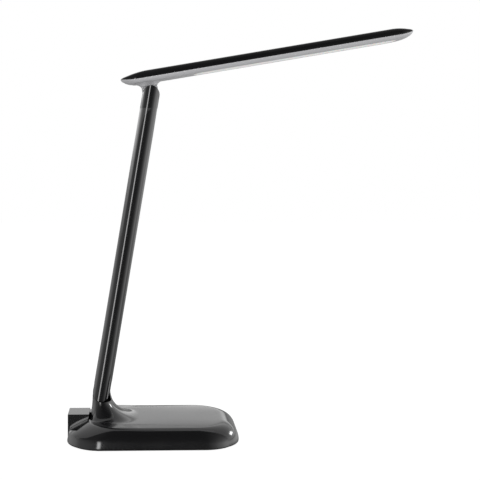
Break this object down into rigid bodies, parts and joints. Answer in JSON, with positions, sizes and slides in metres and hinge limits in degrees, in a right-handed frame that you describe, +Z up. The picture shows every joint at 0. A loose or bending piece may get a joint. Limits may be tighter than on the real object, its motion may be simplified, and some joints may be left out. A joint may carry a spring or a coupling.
{
  "type": "folding led desk lamp",
  "caption": "Desk lamp with a domed rounded base, a slim arm on a lower hinge and a long flat light head on an upper hinge, folding flat.",
  "frame": {"origin": "centre of the base's underside, on the desk, at rest", "axes": "+X to the front, where the head reaches over the desk; +Y to the lamp's left; +Z up"},
  "size_m": [0.3779, 0.12, 0.4484],
  "materials": {
    "gloss_black": "piano black, high gloss moulded ABS",
    "satin_black": "satin black moulded plastic",
    "rubber_black": "matt black rubber pad",
    "silver_grey": "silver-grey satin paint on moulded ABS",
    "milk_white": "milky diffusing acrylic, matt",
    "clear_acrylic": "clear acrylic light guide",
    "reflector_white": "white film",
    "circuit_green": "circuit board with green solder mask",
    "led_yellow": "phosphor-filled resin",
    "copper": "copper foil",
    "steel": "zinc-plated steel",
    "washer_white": "natural acetal washer",
    "cable_black": "black wire sleeve"
  },
  "bodies": {
    "base": {"base_cover": "gloss_black", "base_plate": "satin_black", "ballast_plate": "steel", "anti_slip_pad": "rubber_black", "port_block": "gloss_black", "dc_jack": "satin_black", "control_board": "circuit_green", "touch_sensor": "copper", "lower_hinge_bracket": "steel", "lower_pivot_shaft": "steel", "lower_friction_washers": "washer_white", "base_screws": "steel", "bracket_screws": "steel", "base_cable": "cable_black"},
    "arm": {"arm_shell_right": "gloss_black", "arm_shell_left": "gloss_black", "arm_stiffener": "steel", "arm_screws": "steel", "arm_cable": "cable_black"},
    "head": {"head_top_shell": "gloss_black", "head_bottom_shell": "silver_grey", "diffuser": "milk_white", "light_guide": "clear_acrylic", "reflector_sheet": "reflector_white", "led_board": "circuit_green", "led_chips": "led_yellow", "head_hinge_bracket": "steel", "upper_pivot_shaft": "steel", "upper_friction_washers": "washer_white", "head_screws": "steel", "head_cable": "cable_black"}
  },
  "joints": [
    {"name": "arm_tilt", "type": "hinge", "parent": "base", "child": "arm", "pos_m": [-0.0561, 0, 0.0516], "axis": [0, 1, 0], "range_deg": [-14.5, 80.5]},
    {"name": "head_tilt", "type": "hinge", "parent": "arm", "child": "head", "pos_m": [-0.00205, 0, 0.37461], "axis": [0, 1, 0], "range_deg": [-20, 109.16]}
  ]
}
